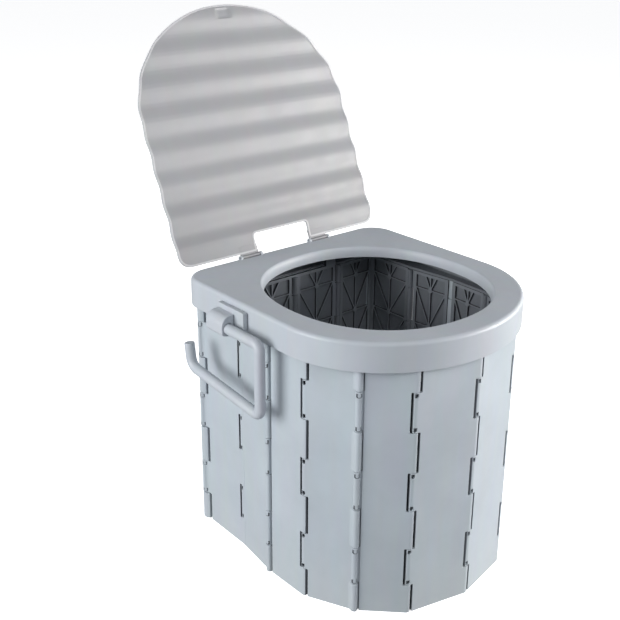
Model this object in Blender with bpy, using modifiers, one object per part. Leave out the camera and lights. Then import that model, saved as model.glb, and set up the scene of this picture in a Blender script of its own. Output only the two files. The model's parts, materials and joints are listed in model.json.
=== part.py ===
"""Portable camp toilet: a hinged ring of sixteen panels, a seat, a lid and a paper holder."""
import math

import bpy
import bmesh
from mathutils import Matrix, Vector

# ---------------------------------------------------------------- dimensions
MM = 0.001
COLLECTION = "portable_camp_toilet"

# The origin is on the floor under the middle of the back wall. +Y is to the rear.
# Outer corners of the right half of the ring, from the middle of the back to the front.
RING = [(0.0, 3.0), (70.0, 3.0), (134.0, 3.0), (134.7, -72.5), (142.0, -131.9),
        (140.8, -190.2), (114.7, -243.9), (73.6, -283.5), (0.0, -299.9)]
# The side of the panels that each hinge axis is on. An outer hinge folds outer faces together.
HINGE_SIDE = ["in", "in", "out", "in", "out", "in", "out", "in", "in"]
PANEL_T = 6.0
HINGE_GAP = 0.6
KNUCKLE_R = 3.3
SLIT = 1.25
ROWS = [0.0, 35.0, 80.0, 126.0, 171.0, 217.0, 262.0, 285.4]
ROW_GAP = 0.3
BARREL_INSET = 0.15
BACK_TOP = 295.0
BACK_NOTCH_X = 50.0
BACK_NOTCH_Z = 287.0
RIB_ROWS = [25.0, 73.0, 121.0, 169.0, 217.0, 265.0]
RIB_W = 1.6
FRAME_W = 3.0
SKIN_T = 3.2

SEAT_BOTTOM = 286.0
SEAT_TOP = 318.5
SEAT_T = 3.0
SEAT_A = 150.0
SEAT_B = 131.0
SEAT_FRONT_Y = -171.5
SEAT_REAR_Y = 17.5
SEAT_CORNER = 30.0
HOLE_A = 116.0
HOLE_B = 121.5
HOLE_Y = -145.0
HOLE_POWER = 2.2

LID_AXIS = (0.0, 15.1, 319.5)
LID_LEAN = 24.0
LID_OFFSET = 2.0
LID_T = 2.0
LID_A = 148.2
LID_B = 129.3
LID_STRAIGHT = 168.4
LID_CORNER = 18.0
LID_START = 4.0
LID_WAVE = 1.5
LID_PITCH = 38.0
LID_PHASE = 68.0
TAB_X0 = 40.0
TAB_X1 = 65.0
LUG_R = 2.2
TRUNNION_R = 1.0
EAR_W = 3.0
EAR_R = 2.8

HOLDER_Y0 = -113.5
HOLDER_Y1 = -62.5
ROD_R = 5.3
ROD_X = -164.0
ROD_Z = 291.5

WALL_GREY = (0.52, 0.57, 0.63)
SEAT_GREY = (0.56, 0.60, 0.65)
LID_GREY = (0.66, 0.67, 0.69)
HOLDER_GREY = (0.56, 0.60, 0.65)


# ---------------------------------------------------------------- scene helpers
def clear_scene():
    for ob in list(bpy.data.objects):
        bpy.data.objects.remove(ob, do_unlink=True)
    part = bpy.data.collections.new(COLLECTION)
    cutters = bpy.data.collections.new(COLLECTION + "_cutters")
    bpy.context.scene.collection.children.link(part)
    bpy.context.scene.collection.children.link(cutters)
    return part, cutters


def make_material(name, colour, roughness):
    mat = bpy.data.materials.new(name)
    mat.use_nodes = True
    shader = mat.node_tree.nodes["Principled BSDF"]
    shader.inputs["Base Color"].default_value = (*colour, 1.0)
    shader.inputs["Roughness"].default_value = roughness
    shader.inputs["Metallic"].default_value = 0.0
    return mat


def new_object(name, bm):
    mesh = bpy.data.meshes.new(name)
    bmesh.ops.recalc_face_normals(bm, faces=bm.faces)
    bm.to_mesh(mesh)
    bm.free()
    ob = bpy.data.objects.new(name, mesh)
    CUTTERS.objects.link(ob)
    ob.hide_render = True
    ob.display_type = "WIRE"
    return ob


def remove_object(ob):
    mesh = ob.data
    bpy.data.objects.remove(ob, do_unlink=True)
    bpy.data.meshes.remove(mesh)


def apply_modifiers(ob):
    deps = bpy.context.evaluated_depsgraph_get()
    mesh = bpy.data.meshes.new_from_object(ob.evaluated_get(deps))
    ob.modifiers.clear()
    old = ob.data
    ob.data = mesh
    if old.users == 0:
        if isinstance(old, bpy.types.Curve):
            bpy.data.curves.remove(old)
        else:
            bpy.data.meshes.remove(old)


def boolean(ob, other, operation):
    mod = ob.modifiers.new(operation.lower(), "BOOLEAN")
    mod.operation = operation
    mod.solver = "EXACT"
    mod.object = other
    apply_modifiers(ob)
    remove_object(other)


def curve_to_mesh(name, curve_ob):
    deps = bpy.context.evaluated_depsgraph_get()
    mesh = bpy.data.meshes.new_from_object(curve_ob.evaluated_get(deps))
    mesh.transform(curve_ob.matrix_world)
    curve = curve_ob.data
    bpy.data.objects.remove(curve_ob, do_unlink=True)
    bpy.data.curves.remove(curve)
    bm = bmesh.new()
    bm.from_mesh(mesh)
    bpy.data.meshes.remove(mesh)
    bmesh.ops.remove_doubles(bm, verts=bm.verts, dist=0.00002)
    return new_object(name, bm)


def outline_prism(name, points, z0, z1):
    """A flat outline in plan, in mm, filled and extruded from z0 to z1."""
    curve = bpy.data.curves.new(name, "CURVE")
    curve.dimensions = "2D"
    curve.fill_mode = "BOTH"
    curve.extrude = 0.5 * (z1 - z0) * MM
    spline = curve.splines.new("POLY")
    spline.points.add(len(points) - 1)
    for point, (x, y) in zip(spline.points, points):
        point.co = (x * MM, y * MM, 0.0, 1.0)
    spline.use_cyclic_u = True
    ob = bpy.data.objects.new(name, curve)
    CUTTERS.objects.link(ob)
    ob.location.z = 0.5 * (z0 + z1) * MM
    bpy.context.view_layer.update()
    return curve_to_mesh(name, ob)


def box(name, lo, hi):
    bm = bmesh.new()
    bmesh.ops.create_cube(bm, size=1.0)
    for vert in bm.verts:
        for k in range(3):
            vert.co[k] = (lo[k] if vert.co[k] < 0 else hi[k]) * MM
    return new_object(name, bm)


def cylinder(name, centre, radius, length, axis, segments):
    bm = bmesh.new()
    bmesh.ops.create_cone(bm, cap_ends=True, segments=segments, radius1=radius * MM,
                          radius2=radius * MM, depth=length * MM)
    turn = {"X": Matrix.Rotation(math.pi / 2, 4, "Y"),
            "Y": Matrix.Rotation(math.pi / 2, 4, "X"),
            "Z": Matrix.Identity(4)}[axis]
    bmesh.ops.transform(bm, matrix=Matrix.Translation(Vector(centre) * MM) @ turn, verts=bm.verts)
    return new_object(name, bm)


def merge_objects(name, objects):
    """Bodies that don't touch each other, as one mesh for a single Boolean."""
    bm = bmesh.new()
    for ob in objects:
        bm.from_mesh(ob.data)
        remove_object(ob)
    return new_object(name, bm)


def finish(ob, name, material, origin, turn=None):
    """Put the object's own origin on its joint axis and its mesh in the local frame."""
    frame = Matrix.Translation(Vector(origin) * MM) @ (turn or Matrix.Identity(4))
    bm = bmesh.new()
    bm.from_mesh(ob.data)
    bmesh.ops.remove_doubles(bm, verts=bm.verts, dist=0.00002)
    bmesh.ops.dissolve_degenerate(bm, dist=0.00001, edges=bm.edges)
    bmesh.ops.transform(bm, matrix=frame.inverted(), verts=bm.verts)
    bmesh.ops.recalc_face_normals(bm, faces=bm.faces)
    bm.to_mesh(ob.data)
    bm.free()
    ob.matrix_world = frame
    ob.name = name
    ob.data.name = name
    ob.data.materials.clear()
    ob.data.materials.append(material)
    ob.data.shade_smooth()
    ob.data.set_sharp_from_angle(angle=math.radians(35))
    CUTTERS.objects.unlink(ob)
    PART.objects.link(ob)
    ob.hide_render = False
    ob.display_type = "TEXTURED"
    return ob


# ---------------------------------------------------------------- ring geometry
def ring_vertex(j):
    """Outer corner j of the right half, continued past both ends by mirroring."""
    if j < 0:
        return Vector((-RING[-j][0], RING[-j][1]))
    if j > 8:
        return Vector((-RING[16 - j][0], RING[16 - j][1]))
    return Vector(RING[j])


def inward(direction):
    return Vector((direction.y, -direction.x))


def hinge(j):
    """Axis, and half the turn of the ring at corner j, less than 0 where the ring turns out."""
    corner = ring_vertex(j)
    before = (corner - ring_vertex(j - 1)).normalized()
    after = (ring_vertex(j + 1) - corner).normalized()
    middle = (before + after).normalized()
    half = 0.5 * math.atan2(after.cross(before), after.dot(before))
    offset = PANEL_T + HINGE_GAP if HINGE_SIDE[j] == "in" else -HINGE_GAP
    return corner + inward(middle) * (offset / math.cos(half)), half


def panel_axes(i):
    """Direction along panel i and its inward normal, from corner i to corner i + 1."""
    along = (ring_vertex(i + 1) - ring_vertex(i)).normalized()
    return along, inward(along)


def hinge_cut(j):
    """How far the plate is cut back from corner j where the other panel has its knuckle."""
    half = hinge(j)[1]
    if half > math.radians(30):
        return PANEL_T + SLIT
    offset = PANEL_T + HINGE_GAP if HINGE_SIDE[j] == "in" else 0.0
    return max(4.8, offset * math.tan(half) + KNUCKLE_R + 0.7)


def own_rows(side, start):
    """Rows of knuckles that a panel carries: even rows are on the left seen from outside."""
    even = (side > 0) == start
    return [k for k in range(7) if (k % 2 == 0) == even]


def finger_reach(j):
    """How far a finger runs past ring corner j; at a sharp corner it stops at the corner."""
    if hinge(j)[1] > math.radians(30):
        return 0.0
    return hinge_cut(j) - SLIT


def panel_elevation(side, i, length, top):
    """Outline of panel i seen square on, as (along, up): fingers stand out at both edges."""
    start, end = hinge_cut(i), length - hinge_cut(i + 1)
    left, right = own_rows(side, True), own_rows(side, False)
    points = []
    for k in range(7):
        z0 = ROWS[k] + (ROW_GAP if k else 0.0)
        z1 = ROWS[k + 1] - (ROW_GAP if k < 6 else 0.0)
        if k in right:
            edge = length + finger_reach(i + 1) * 1.15
            points += [(end, z0), (edge, z0), (edge, z1), (end, z1)]
    points = ([(end, 0.0)] if points[0][1] > 0.0 else points[:0]) + \
        (points[1:] if points[0][1] == 0.0 else points)
    if points[-1][1] > ROWS[-1] - 0.01 and top > ROWS[-1]:
        points[-1] = (end, ROWS[-1])
    elif points[-1][1] > ROWS[-1] - 0.01:
        points.pop()
    if points[-1][1] < top and points[-1][0] == end:
        points.append((end, top))
    if top > ROWS[-1]:
        points += [(BACK_NOTCH_X, top), (BACK_NOTCH_X, BACK_NOTCH_Z), (start, BACK_NOTCH_Z)]
    side_points = []
    for k in reversed(range(7)):
        z0 = ROWS[k] + (ROW_GAP if k else 0.0)
        z1 = ROWS[k + 1] - (ROW_GAP if k < 6 else 0.0)
        if k in left:
            edge = -finger_reach(i) * 1.15
            side_points += [(start, z1), (edge, z1), (edge, z0), (start, z0)]
    if top == ROWS[-1] and side_points[0][1] >= top:
        side_points = side_points[1:]
    elif top == ROWS[-1]:
        side_points = [(start, top)] + side_points
    if side_points[-1][1] <= 0.0:
        side_points.pop()
    else:
        side_points.append((start, 0.0))
    return points + side_points


def elevation_prism(name, points, y0, y1):
    """An outline in (along, up), filled and extruded from y0 to y1."""
    flat = outline_prism(name, points, -y1, -y0)
    flat.data.transform(Matrix.Rotation(math.pi / 2, 4, "X"))
    return flat


def tip_cutter(side, i, j, length):
    """Room for the neighbour: beyond its outer face, and beyond the slit at its end."""
    turn = 2.0 * hinge(j)[1]
    out = -1.0 if j == i else 1.0
    u = 0.0 if j == i else length
    reach = finger_reach(j)
    shape = [(0.0, 0.0), (reach, 0.0), (reach, 16.0), (reach + 9.0, 16.0),
             (reach + 9.0, -6.0), (0.0, -6.0)]
    points = []
    for a, w in shape:
        points.append((u + out * (a * math.cos(turn) - w * math.sin(turn)),
                       -side * (a * math.sin(turn) + w * math.cos(turn))))
    return outline_prism("tip", points, -5.0, ROWS[-1] + 5.0)


def build_panel(side, i, material):
    """Panel i of the right (side +1) or left (side -1) half of the ring.

    It is made with its outer face along local X, then moved to its place in the ring.
    """
    along, normal = panel_axes(i)
    first = ring_vertex(i)
    length = (ring_vertex(i + 1) - first).length
    u0, u1 = hinge_cut(i), length - hinge_cut(i + 1)
    top = BACK_TOP if i == 0 else ROWS[-1]
    y0, y1 = sorted((0.0, -side * PANEL_T))
    plate = elevation_prism("plate", panel_elevation(side, i, length, top), y0, y1)
    for j in (i, i + 1):
        if 0.001 < abs(hinge(j)[1]) < math.radians(30):
            boolean(plate, tip_cutter(side, i, j, length), "DIFFERENCE")

    barrels = []
    for j in (i, i + 1):
        step = hinge(j)[0] - first
        axis_u, axis_w = step.dot(along), step.dot(normal)
        for k in own_rows(side, j == i):
            z0 = ROWS[k] + ROW_GAP + BARREL_INSET
            z1 = ROWS[k + 1] - ROW_GAP - BARREL_INSET
            centre = (axis_u, -side * axis_w, 0.5 * (z0 + z1))
            barrels.append(cylinder("barrel", centre, KNUCKLE_R, z1 - z0, "Z", 12))
    boolean(plate, merge_objects("barrels", barrels), "UNION")

    pockets = []
    low, high = u0 + FRAME_W, u1 - FRAME_W
    middle = 0.5 * (u0 + u1)
    ribs = RIB_ROWS[2:5:2]
    lower = [FRAME_W] + [z + 0.5 * RIB_W for z in ribs]
    upper = [z - 0.5 * RIB_W for z in ribs] + [(BACK_NOTCH_Z if i == 0 else top) - FRAME_W]
    for z0, z1 in zip(lower, upper):
        for ua, ub in ((low, middle - 0.5 * RIB_W), (middle + 0.5 * RIB_W, high)):
            w0, w1 = sorted((-side * SKIN_T, -side * (PANEL_T + 2.0)))
            pockets.append(box("pocket", (ua, w0, z0), (ub, w1, z1)))
    boolean(plate, merge_objects("pockets", pockets), "DIFFERENCE")

    angle = math.atan2(along.y, along.x)
    if side < 0:
        angle = math.pi - angle
    turn = Matrix.Rotation(angle, 4, "Z")
    plate.data.transform(Matrix.Translation((side * first.x * MM, first.y * MM, 0.0)) @ turn)
    axis = hinge(i)[0]
    letter = "r" if side > 0 else "l"
    finish(plate, "wall_%s%d" % (letter, i + 1), material, (side * axis.x, axis.y, 0.0), turn)


# ---------------------------------------------------------------- seat
def d_outline(a, b, front_y, rear_y, corner):
    """Half-ellipse front, straight sides and a rear edge with round corners."""
    points = []
    for k in range(25):
        t = math.pi * k / 24
        points.append((-a * math.cos(t), front_y - b * math.sin(t)))
    for k in range(1, 4):
        points.append((a, front_y + (rear_y - corner - front_y) * k / 4))
    for k in range(6):
        t = 0.5 * math.pi * k / 5
        points.append((a - corner + corner * math.cos(t), rear_y - corner + corner * math.sin(t)))
    for k in range(1, 6):
        points.append(((a - corner) * (1.0 - 2.0 * k / 6), rear_y))
    for k in range(6):
        t = 0.5 * math.pi * (1.0 + k / 5)
        points.append((-a + corner + corner * math.cos(t), rear_y - corner + corner * math.sin(t)))
    for k in range(1, 4):
        points.append((-a, rear_y - corner + (front_y - rear_y + corner) * k / 4))
    return points


def seat_outline(inset):
    corner = max(SEAT_CORNER - inset, 4.0)
    return d_outline(SEAT_A - inset, SEAT_B - inset, SEAT_FRONT_Y, SEAT_REAR_Y - inset, corner)


def hole_outline(grow, directions):
    points = []
    a, b = HOLE_A + grow, HOLE_B + grow
    for c, s in directions:
        r = (abs(c / a) ** HOLE_POWER + abs(s / b) ** HOLE_POWER) ** (-1.0 / HOLE_POWER)
        points.append((r * c, HOLE_Y + r * s))
    return points


def ledge_outline(directions):
    """Where rays from the hole's centre cross the inner faces of the ring."""
    inner = []
    for j in range(0, 9):
        corner = ring_vertex(j)
        before = (corner - ring_vertex(j - 1)).normalized()
        after = (ring_vertex(j + 1) - corner).normalized()
        half = 0.5 * math.acos(max(-1.0, min(1.0, before.dot(after))))
        inner.append(corner + inward((before + after).normalized()) * (PANEL_T / math.cos(half)))
    inner += [Vector((-p.x, p.y)) for p in reversed(inner[1:-1])]
    centre = Vector((0.0, HOLE_Y))
    points = []
    for c, s in directions:
        ray = Vector((c, s))
        best = None
        for p, q in zip(inner, inner[1:] + inner[:1]):
            edge = q - p
            det = ray.cross(edge)
            if abs(det) < 1e-9:
                continue
            t = (p - centre).cross(edge) / det
            m = (p - centre).cross(ray) / det
            if t > 0 and -1e-6 <= m <= 1.0 + 1e-6:
                best = t if best is None else min(best, t)
        points.append((centre.x + best * c, centre.y + best * s))
    return points


def build_seat(material):
    outer = seat_outline(0.0)
    directions = []
    for x, y in outer:
        r = math.hypot(x, y - HOLE_Y)
        directions.append((x / r, (y - HOLE_Y) / r))
    rings = [(hole_outline(0.0, directions), 306.0), (hole_outline(0.7, directions), 311.0),
             (hole_outline(2.8, directions), 315.2), (hole_outline(6.0, directions), 317.8),
             (hole_outline(10.0, directions), SEAT_TOP), (seat_outline(4.0), SEAT_TOP),
             (seat_outline(1.2), 317.3), (outer, 314.5), (outer, SEAT_BOTTOM),
             (ledge_outline(directions), SEAT_BOTTOM)]
    bm = bmesh.new()
    loops = [[bm.verts.new((x * MM, y * MM, z * MM)) for x, y in points] for points, z in rings]
    for low, high in zip(loops[:-1], loops[1:]):
        for k in range(len(low)):
            n = (k + 1) % len(low)
            bm.faces.new((low[k], low[n], high[n], high[k]))
    shell = new_object("seat", bm)
    solidify = shell.modifiers.new("wall", "SOLIDIFY")
    solidify.thickness = SEAT_T * MM
    solidify.offset = -1.0
    solidify.use_even_offset = True
    apply_modifiers(shell)

    x, y, z = LID_AXIS
    ears = []
    for sign in (-1, 1):
        for edge in (TAB_X0 - 0.5 - 0.5 * EAR_W, TAB_X1 + 0.5 + 0.5 * EAR_W):
            ears.append(cylinder("ear", (sign * edge, y, z - 0.9), EAR_R + 0.6, EAR_W, "X", 20))
    boolean(shell, merge_objects("ears", ears), "UNION")
    cuts = []
    for sign in (-1, 1):
        middle = sign * 0.5 * (TAB_X0 + TAB_X1)
        width = TAB_X1 - TAB_X0
        cuts.append(cylinder("trunnion_hole", (middle, y, z), TRUNNION_R + 0.4, width + 12.0,
                             "X", 12))
    boolean(shell, merge_objects("trunnion_holes", cuts), "DIFFERENCE")
    cuts = []
    for sign in (-1, 1):
        x0, x1 = sorted((sign * (TAB_X0 - 0.5), sign * (TAB_X1 + 0.5)))
        cuts.append(box("lug_slot", (x0, y - 3.2, z - 3.3), (x1, y + 6.0, z + 6.0)))
    cuts.append(box("back_notch", (-68.0, -30.0, 280.0), (68.0, 3.8, 300.0)))
    for sign in (-1, 1):
        cuts.append(cylinder("rear_hole", (sign * 39.0, SEAT_REAR_Y, 293.0), 1.6, 12.0, "Y", 12))
    boolean(shell, merge_objects("seat_cuts", cuts), "DIFFERENCE")
    finish(shell, "seat", material, (0.0, 0.0, SEAT_BOTTOM))


# ---------------------------------------------------------------- lid
def build_lid(material):
    """Built flat, hinge along X at the origin, then stood up about the hinge."""
    steps = 66
    length = LID_START + LID_STRAIGHT + LID_B + 4.0
    bm = bmesh.new()
    rows = []
    for k in range(steps + 1):
        v = length * k / steps
        swell = min(1.0, max(0.0, (v - 10.0) / 18.0))
        z = -LID_OFFSET + swell * LID_WAVE * math.sin(2.0 * math.pi * (v - LID_PHASE) / LID_PITCH)
        rows.append([bm.verts.new((x * MM, v * MM, z * MM)) for x in (-155.0, 155.0)])
    for low, high in zip(rows[:-1], rows[1:]):
        bm.faces.new((low[0], low[1], high[1], high[0]))
    sheet = new_object("lid", bm)
    solidify = sheet.modifiers.new("thickness", "SOLIDIFY")
    solidify.thickness = LID_T * MM
    solidify.offset = 0.0
    apply_modifiers(sheet)

    # The outline runs the other way up: the hinge edge is at v = LID_START.
    outline = d_outline(LID_A, LID_B, -LID_STRAIGHT - LID_START, -LID_START, LID_CORNER)
    outline = [(px, -py) for px, py in outline]
    boolean(sheet, outline_prism("lid_outline", outline, -12.0, 12.0), "INTERSECT")
    boolean(sheet, box("lid_notch", (-41.0, -5.0, -12.0), (41.0, 25.0, 12.0)), "DIFFERENCE")

    tabs, lugs, pins = [], [], []
    for sign in (-1, 1):
        x0, x1 = sorted((sign * 41.0, sign * TAB_X1))
        tabs.append(box("tab", (x0, 0.6, -2.95), (x1, 12.0, -1.05)))
        x0, x1 = sorted((sign * TAB_X0, sign * TAB_X1))
        centre = (0.5 * (x0 + x1), 0.0, 0.0)
        lugs.append(cylinder("lug", centre, LUG_R, x1 - x0, "X", 16))
        pins.append(cylinder("trunnion", centre, TRUNNION_R, x1 - x0 + 5.0, "X", 12))
    boolean(sheet, merge_objects("tabs", tabs), "UNION")
    boolean(sheet, merge_objects("lugs", lugs), "UNION")
    boolean(sheet, merge_objects("trunnions", pins), "UNION")
    frame = Matrix.Translation(Vector(LID_AXIS) * MM)
    frame = frame @ Matrix.Rotation(math.radians(90.0 - LID_LEAN), 4, "X")
    sheet.data.transform(frame)
    finish(sheet, "lid", material, LID_AXIS, Matrix.Rotation(math.radians(90.0 - LID_LEAN), 4, "X"))


# ---------------------------------------------------------------- paper holder
def bevel_edges(ob, width, segments):
    mod = ob.modifiers.new("edges", "BEVEL")
    mod.width = width * MM
    mod.segments = segments
    mod.limit_method = "ANGLE"
    mod.angle_limit = math.radians(40)
    apply_modifiers(ob)


def build_holder(material):
    plate = box("plate", (-156.0, HOLDER_Y0, 289.0), (-150.4, HOLDER_Y1, 313.0))
    bevel_edges(plate, 1.2, 2)
    finish(plate, "holder_plate", material, (-150.4, HOLDER_Y0, 301.0))

    socket = box("socket", (-170.6, -93.0, 281.5), (-156.4, -64.0, 305.5))
    bevel_edges(socket, 2.0, 2)
    bore = cylinder("bore", (ROD_X, -93.0, ROD_Z), ROD_R + 0.5, 48.0, "Y", 24)
    boolean(socket, bore, "DIFFERENCE")
    finish(socket, "holder_socket", material, (-156.4, -64.0, ROD_Z))

    path = [(-70.0, ROD_Z), (-140.0, ROD_Z)]
    path += bend((-147.2, ROD_Z), (-147.2, 210.5), path[-1], 7.2)
    path.append((-147.2, 218.0))
    path += bend((-147.2, 210.5), (-24.0, 222.5), (-147.2, 218.0), 7.5)
    path += bend((-21.0, 222.8), (-17.2, 251.0), (-32.0, 221.7), 10.0)
    path.append((-17.2, 250.0))
    curve = bpy.data.curves.new("holder_rod", "CURVE")
    curve.dimensions = "3D"
    curve.bevel_depth = ROD_R * MM
    curve.bevel_resolution = 3
    curve.use_fill_caps = True
    spline = curve.splines.new("POLY")
    spline.points.add(len(path) - 1)
    for point, (y, z) in zip(spline.points, path):
        point.co = (ROD_X * MM, y * MM, z * MM, 1.0)
    ob = bpy.data.objects.new("rod_curve", curve)
    CUTTERS.objects.link(ob)
    bpy.context.view_layer.update()
    rod = curve_to_mesh("holder_rod", ob)
    finish(rod, "holder_rod", material, (ROD_X, -93.0, ROD_Z))


def bend(corner, after, before, trim):
    """Points round a corner between two straight runs, trimmed back along both."""
    c = Vector(corner)
    p = c + (Vector(before) - c).normalized() * trim
    q = c + (Vector(after) - c).normalized() * trim
    points = []
    for k in range(6):
        t = k / 5
        point = p * (1 - t) ** 2 + c * 2 * t * (1 - t) + q * t ** 2
        points.append((point.x, point.y))
    return points


# ---------------------------------------------------------------- assembly
PART, CUTTERS = clear_scene()


def main():
    wall = make_material("wall_plastic", WALL_GREY, 0.5)
    seat = make_material("seat_plastic", SEAT_GREY, 0.42)
    lid = make_material("lid_plastic", LID_GREY, 0.45)
    holder = make_material("holder_plastic", HOLDER_GREY, 0.42)
    for side in (1, -1):
        for i in range(8):
            build_panel(side, i, wall)
    build_seat(seat)
    build_lid(lid)
    build_holder(holder)
    bpy.context.view_layer.update()


main()
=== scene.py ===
import json
import math

import bmesh
import bpy
from mathutils import Euler, Matrix, Vector

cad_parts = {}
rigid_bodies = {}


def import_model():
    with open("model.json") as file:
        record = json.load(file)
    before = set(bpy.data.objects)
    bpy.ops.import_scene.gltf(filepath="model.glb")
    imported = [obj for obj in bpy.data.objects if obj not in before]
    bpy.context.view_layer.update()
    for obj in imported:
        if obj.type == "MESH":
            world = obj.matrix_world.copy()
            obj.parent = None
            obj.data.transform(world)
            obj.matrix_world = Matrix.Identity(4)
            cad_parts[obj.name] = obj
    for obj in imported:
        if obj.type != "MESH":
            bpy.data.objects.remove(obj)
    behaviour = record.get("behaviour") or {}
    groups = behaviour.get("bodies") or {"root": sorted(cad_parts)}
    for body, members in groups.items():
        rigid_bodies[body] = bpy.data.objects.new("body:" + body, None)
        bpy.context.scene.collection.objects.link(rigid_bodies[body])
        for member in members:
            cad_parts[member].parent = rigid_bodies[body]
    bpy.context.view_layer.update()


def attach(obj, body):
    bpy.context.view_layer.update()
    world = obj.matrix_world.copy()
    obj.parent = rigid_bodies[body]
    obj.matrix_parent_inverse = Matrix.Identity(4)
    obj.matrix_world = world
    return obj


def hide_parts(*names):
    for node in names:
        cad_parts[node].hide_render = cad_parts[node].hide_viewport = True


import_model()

MM = 0.001

# ---------------------------------------------------------------- wall, in mm
# Outer corners of the right half of the ring, from the middle of the back to the front.
RING = [(0.0, 3.0), (70.0, 3.0), (134.0, 3.0), (134.7, -72.5), (142.0, -131.9),
        (140.8, -190.2), (114.7, -243.9), (73.6, -283.5), (0.0, -299.9)]
# The side of the panels that each hinge axis is on.
HINGE_SIDE = ["in", "in", "out", "in", "out", "in", "out", "in", "in"]
PANELS = 8
PANEL_T = 6.0
SKIN_T = 3.2
CORNER_R = 0.9
SKIN_BEVEL = 0.3
RIB_BEVEL = 0.2

# Knuckles, and the distance of the hinge axes from the panels' faces.
HINGE_GAP = 0.6
KNUCKLE_R = 3.3
KNUCKLE_BEVEL = 0.9

# How far plates stop short of a ring corner; a sharp corner is one that turns twice SHARP_TURN.
SHARP_TURN = math.radians(30)
SHARP_CUT = 7.25
WRAP_CUT = 10.2
LEAST_CUT = 4.8
OUTER_SLIT = 5.3
DARK_EDGE = 3.9

# Slits at the ends of the fingers, nearly shut at one hinge, and how far a bend spreads.
SLIT = 3.0
CLOSED_HINGE = 3
CLOSED_SLIT = 0.15
CLOSED_GAP = 0.05
BEND_LIMIT = 1.6

# Rows of knuckles: the heights between them.
ROWS = [0.0, 35.0, 80.0, 126.0, 171.0, 217.0, 262.0, 285.4]
ROW_GAP = 0.3
LAST_ROW = len(ROWS) - 2

# Outer knuckles: a flattened barrel, and where its outline leaves the plate.
BARREL_GAP = 0.3
BARREL_FLAT = 0.8
BLEND_START = math.radians(214.0)
NECK_START = math.radians(190.0)
NECK_DEPTH = 5.2

# Slots over the pin ends: plain in the fingers, U-shaped in the barrels (half widths).
SLOT_H = 5.0
SLOT_INSET = 1.1
SLOT_MARGIN = 0.6
BARREL_SLOT = 3.05
BARREL_TONGUE = 1.55

# The two back panels reach up inside the seat, beside a notch.
BACK_TOP = 295.0
BACK_NOTCH_X = 50.0
BACK_NOTCH_Z = 287.8

# Ribs on the inner face.
RIB_ROWS = [25.0, 73.0, 121.0, 169.0, 217.0, 265.0]
RIB_W = 1.5
RIB_SINK = 0.8
FRAME_W = 3.0
BOSS_R = 3.1
BOSS_RISE = 0.5

# ---------------------------------------------------------------- seat, lid and holder, in mm
SEAT_BOTTOM = 286.0
SEAT_TOP = 318.5
SEAT_T = 3.0
SEAT_A = 150.0
SEAT_B = 131.0
SEAT_FRONT_Y = -171.5
SEAT_REAR_Y = 17.5
SEAT_CORNER = 30.0
SEAT_EDGE_R = 4.6
HOLE_A = 116.0
HOLE_B = 121.5
HOLE_Y = -145.0
HOLE_POWER = 2.2
LIP_GROW = 2.4
LIP_R = 3.8
LIP_H = 9.0
LIP_BOTTOM = 306.0
# Room for the back panels, cut out of the seat's ledge, and two holes through the rear skirt.
LEDGE_ROOM = ((-68.0, -30.0, 280.0), (68.0, 3.8, 300.0))
REAR_HOLE = (39.0, 293.0, 1.6)
EAR_R = 3.4
EAR_T = 3.0

LID_AXIS = (0.0, 15.1, 319.5)
LID_LEAN = 24.0
LID_OFFSET = 2.0
LID_T = 2.0
LID_A = 148.2
LID_B = 129.3
LID_STRAIGHT = 168.4
LID_CORNER = 18.0
LID_START = 4.0
LID_WAVE = 1.5
LID_PITCH = 38.0
LID_PHASE = 51.0
WAVE_START = 10.0
WAVE_RISE = 18.0
# The dent for a finger at the free end: its centre, half sizes and depth.
GRIP_X = -1.0
GRIP_V = 291.0
GRIP_A = 11.0
GRIP_B = 6.5
GRIP_DEPTH = 1.6
NOTCH_X = 41.0
NOTCH_V = 25.0
TAB_X0 = 40.0
TAB_X1 = 65.0
# Section of the bead round the lid, as (outward, up).
RIM_SECTION = [(-0.2, -1.1), (-0.2, 1.1), (0.2, 1.45), (1.9, 1.45), (2.3, 1.1), (2.3, -1.1),
               (1.9, -1.45), (0.2, -1.45)]

HOLDER_BEVEL = 0.9
ROD_R = 5.9
ROD_X = -164.0
ROD_Z = 291.5
ROD_SIDES = 36
# Corners of the rod in (y, z) after it leaves the socket.
ROD_FRONT_Y = -147.2
ROD_LOW_Z = 210.5
ROD_REAR = (-21.0, 222.8)
ROD_TIP = (-17.2, 250.0)

# ---------------------------------------------------------------- finishes
EDGE_WEAR = 0.25
EDGE_POLISH = 1.35
DUST_COLOUR = (0.55, 0.54, 0.5, 1.0)
DUST_HEIGHT = 0.06


def node(tree, kind, **values):
    """A shader node. Each value is one of its properties or, by name, of its inputs."""
    made = tree.nodes.new(kind)
    for key, value in values.items():
        if hasattr(made, key):
            setattr(made, key, value)
        else:
            made.inputs[key.replace("_", " ")].default_value = value
    return made


def map_range(tree, source, low, high, to_low=0.0, to_high=1.0):
    made = node(tree, "ShaderNodeMapRange", From_Min=low, From_Max=high, To_Min=to_low,
                To_Max=to_high)
    tree.links.new(source, made.inputs["Value"])
    return made.outputs["Result"]


def ramp(tree, source, stops, interpolation="LINEAR"):
    """A colour ramp through (position, colour) stops."""
    made = node(tree, "ShaderNodeValToRGB")
    band = made.color_ramp
    band.interpolation = interpolation
    for _ in stops[2:]:
        band.elements.new(0.5)
    for element, (position, colour) in zip(band.elements, stops):
        element.position = position
        element.color = (*colour, 1.0)
    tree.links.new(source, made.inputs["Fac"])
    return made.outputs["Color"]


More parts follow.
